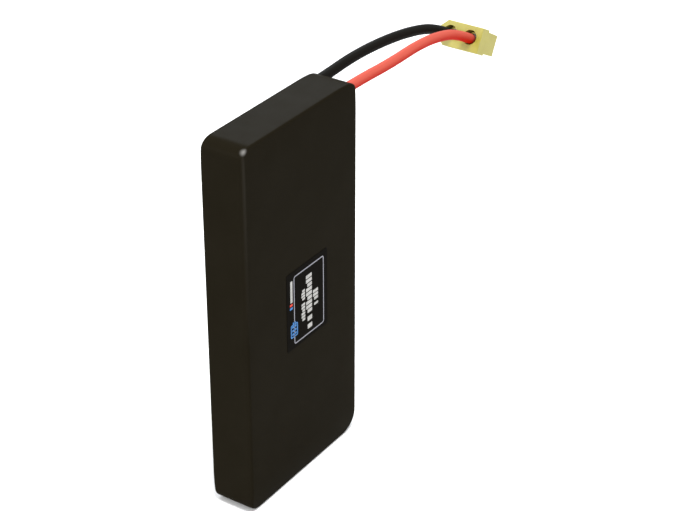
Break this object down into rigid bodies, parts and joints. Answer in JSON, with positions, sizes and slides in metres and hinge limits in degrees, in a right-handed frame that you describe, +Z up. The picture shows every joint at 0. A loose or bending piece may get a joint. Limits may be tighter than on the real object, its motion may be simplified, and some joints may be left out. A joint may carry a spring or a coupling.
{
  "type": "battery pack",
  "caption": "Flat rechargeable battery pack in black heat-shrink film with a label on one face, and red and black leads that run from its top corner to a keyed yellow power plug.",
  "frame": {"origin": "middle of the pack's bottom end, on the surface that the pack stands on", "axes": "+Z up along the pack's length, +X across its width to the narrow side where the leads leave, +Y through its thickness away from the labelled face"},
  "size_m": [0.1447, 0.016, 0.127],
  "materials": {
    "wrap_film": "satin",
    "label_print": "satin",
    "foam": "matte",
    "guard_sheet": "satin",
    "board_laminate": "satin",
    "nickel": "satin",
    "aluminium_tab": "satin",
    "solder": "satin",
    "insulating_paper": "matte",
    "amber_tape": "gloss",
    "pouch_foil": "satin",
    "electrode_foil": "matte",
    "tab_seal_film": "satin",
    "red_silicone": "satin",
    "black_silicone": "satin",
    "tinned_copper": "satin",
    "gold_contact": "polished",
    "plug_moulding": "satin"
  },
  "bodies": {
    "root": {"outer_wrap": "wrap_film", "label": "label_print", "cell_spacer": "foam", "front_guard_plate": "guard_sheet", "back_guard_plate": "guard_sheet", "left_edge_foam": "foam", "right_edge_foam": "foam", "bottom_foam_pad": "foam", "board_support_foam": "foam", "tab_board": "board_laminate", "series_bridge": "nickel", "bridge_solder": "solder", "top_insulation_sheet": "insulating_paper", "connector_housing": "plug_moulding", "lower_tape_band": "amber_tape", "upper_tape_band": "amber_tape", "cell_1_pouch": "pouch_foil", "cell_1_electrode_stack": "electrode_foil", "cell_1_positive_tab": "aluminium_tab", "cell_1_negative_tab": "nickel", "cell_1_positive_tab_film": "tab_seal_film", "cell_1_negative_tab_film": "tab_seal_film", "cell_2_pouch": "pouch_foil", "cell_2_electrode_stack": "electrode_foil", "cell_2_positive_tab": "aluminium_tab", "cell_2_negative_tab": "nickel", "cell_2_positive_tab_film": "tab_seal_film", "cell_2_negative_tab_film": "tab_seal_film", "positive_lead": "red_silicone", "positive_conductor": "tinned_copper", "positive_pad_solder": "solder", "positive_socket": "gold_contact", "positive_cup_solder": "solder", "negative_lead": "black_silicone", "negative_conductor": "tinned_copper", "negative_pad_solder": "solder", "negative_socket": "gold_contact", "negative_cup_solder": "solder"}
  },
  "joints": []
}
